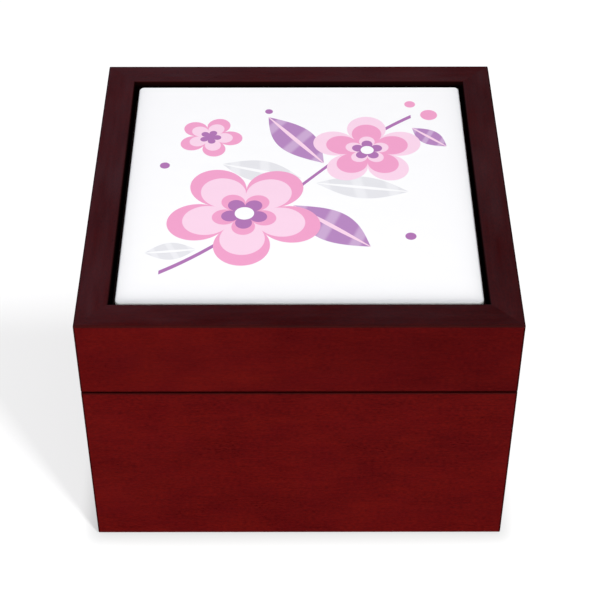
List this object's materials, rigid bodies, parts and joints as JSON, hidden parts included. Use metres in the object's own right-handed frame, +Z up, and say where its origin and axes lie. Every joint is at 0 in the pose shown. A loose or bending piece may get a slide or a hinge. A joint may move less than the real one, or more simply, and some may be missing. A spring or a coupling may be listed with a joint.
{
  "type": "hinged box with mirror",
  "caption": "Square wooden box with a hinged lid, a glazed ceramic tile let into its top, velvet lining and a mirror inside the lid.",
  "frame": {"origin": "centre of the closed box's footprint, on the surface it stands on", "axes": "+X to the right and +Y to the back as seen from the front, +Z up; the hinge line runs along X at the back"},
  "size_m": [0.13, 0.13, 0.093],
  "materials": {
    "mahogany_finish": "dark red mahogany stain under satin lacquer",
    "plain_board": "plain sanded board",
    "velvet": "short-pile velvet, wine red",
    "felt": "pressed black felt",
    "foam_tape": "closed-cell foam",
    "glazed_tile": "white gloss glaze with a printed design",
    "mirror_glass": "silvered float glass",
    "leaf_brass": "satin brass",
    "pin_brass": "drawn brass wire",
    "screw_brass": "bright brass"
  },
  "bodies": {
    "base": {"base_front_wall": "mahogany_finish", "base_back_wall": "mahogany_finish", "base_left_wall": "mahogany_finish", "base_right_wall": "mahogany_finish", "base_bottom_panel": "plain_board", "base_felt": "felt", "base_floor_pad": "velvet", "base_lining_front": "velvet", "base_lining_back": "velvet", "base_lining_left": "velvet", "base_lining_right": "velvet", "rim_bumpers": "felt", "hinge_left_base_leaf": "leaf_brass", "hinge_right_base_leaf": "leaf_brass", "hinge_left_pin": "pin_brass", "hinge_right_pin": "pin_brass", "hinge_base_screws": "screw_brass"},
    "lid": {"lid_front_rail": "mahogany_finish", "lid_back_rail": "mahogany_finish", "lid_left_rail": "mahogany_finish", "lid_right_rail": "mahogany_finish", "lid_panel": "plain_board", "tile_foam_tape": "foam_tape", "lid_tile": "glazed_tile", "lid_mirror": "mirror_glass", "mirror_mount": "velvet", "lid_lining_front": "velvet", "lid_lining_back": "velvet", "lid_lining_left": "velvet", "lid_lining_right": "velvet", "hinge_left_lid_leaf": "leaf_brass", "hinge_right_lid_leaf": "leaf_brass", "hinge_lid_screws": "screw_brass"}
  },
  "joints": [
    {"name": "lid_hinge", "type": "hinge", "parent": "base", "child": "lid", "pos_m": [0, 0.0629, 0.0658], "axis": [-1, 0, 0], "range_deg": [0, 95]}
  ]
}
